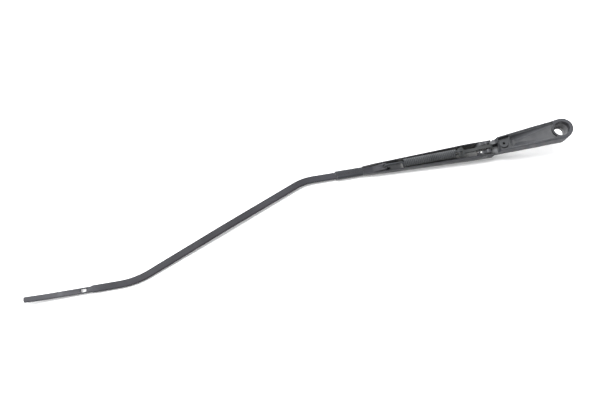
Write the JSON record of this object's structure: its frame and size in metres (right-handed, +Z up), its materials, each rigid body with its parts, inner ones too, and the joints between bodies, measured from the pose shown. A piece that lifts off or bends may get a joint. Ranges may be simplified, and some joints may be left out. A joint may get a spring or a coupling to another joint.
{
  "type": "wiper arm",
  "caption": "Windscreen wiper arm: cast head with spindle socket, sprung folding channel, cranked flat bar and bayonet tongue for the blade.",
  "frame": {"origin": "middle of the plain hole in the head, on the spindle's axis", "axes": "+X along the channel towards the head, the tongue at -X; +Z up with the arm's underside up, as it lies on the back of its channel; +Y across the arm, away from the side the bar is cranked to"},
  "size_m": [0.6324, 0.1011, 0.0382],
  "materials": {
    "head_paint": "satin, worn",
    "channel_paint": "satin, worn",
    "bar_paint": "satin, worn",
    "rivet_steel": "satin",
    "pin_steel": "satin",
    "link_steel": "satin, worn",
    "spring_steel": "satin, oiled",
    "bush_nylon": "matt"
  },
  "bodies": {
    "arm": {"retainer_channel": "channel_paint", "arm_bar": "bar_paint", "hinge_rivet_near": "rivet_steel", "hinge_rivet_far": "rivet_steel"},
    "head": {"head": "head_paint", "hook_pin": "pin_steel", "hinge_bush_near": "bush_nylon", "hinge_bush_far": "bush_nylon"},
    "spring_link": {"tension_spring": "spring_steel", "hook_link": "link_steel"}
  },
  "joints": [
    {"name": "arm_fold", "type": "hinge", "parent": "arm", "child": "head", "pos_m": [-0.08687, 0, -0.01492], "axis": [0, 1, 0], "range_deg": [0, 66], "stiffness_Nm_per_rad": 0.3, "springref_deg": -57.3},
    {"name": "spring_swing", "type": "hinge", "parent": "arm", "child": "spring_link", "pos_m": [-0.20297, 0, -0.01709], "axis": [0, 1, 0], "range_deg": [0, 3.53]}
  ],
  "couplings": [
    {"joint": "spring_swing", "follows": "arm_fold", "ratio": 0.053398}
  ]
}
